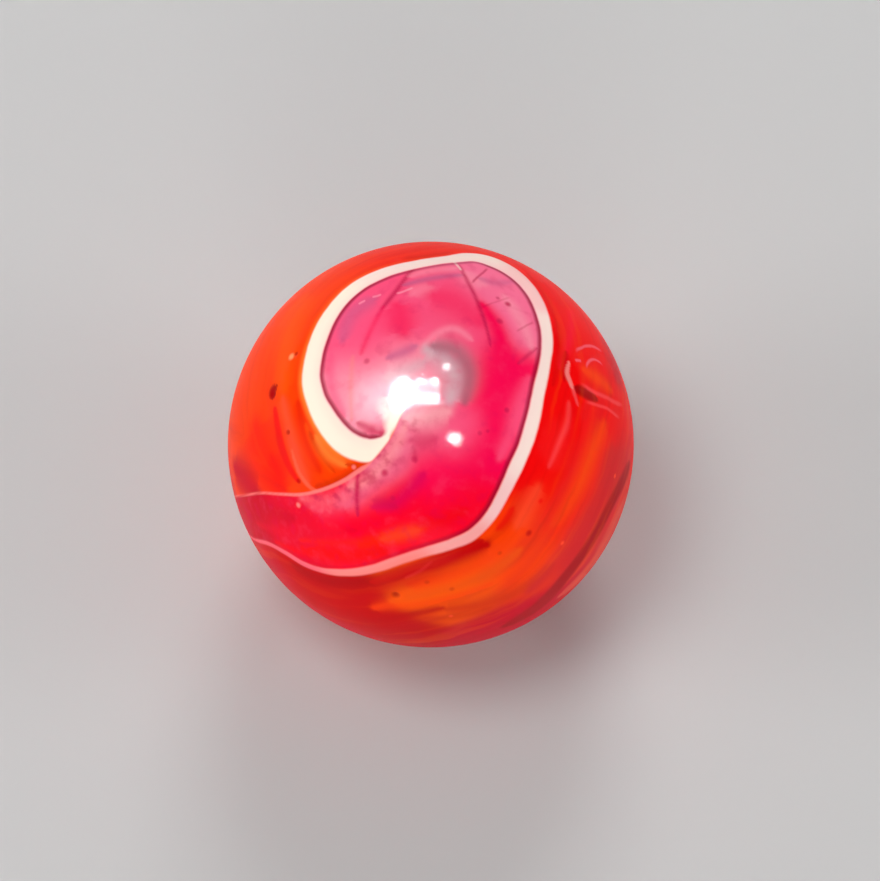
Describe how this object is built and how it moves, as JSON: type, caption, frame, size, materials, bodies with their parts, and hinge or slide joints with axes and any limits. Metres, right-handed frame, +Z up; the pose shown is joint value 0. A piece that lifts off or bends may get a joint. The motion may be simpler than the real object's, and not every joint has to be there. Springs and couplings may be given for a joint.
{
  "type": "glass marble",
  "caption": "Solid glass ball for play or display, of opaque red and orange swirled glass with a white ribbon that curls round a pink comma-shaped patch.",
  "frame": {"origin": "centre of the ball", "axes": "+Z up, with the swirl's face up and towards -Y, and +X to the right of that face"},
  "size_m": [0.016, 0.016, 0.016],
  "materials": {
    "swirl_glass": "glossy"
  },
  "bodies": {
    "root": {"marble": "swirl_glass"}
  },
  "joints": []
}
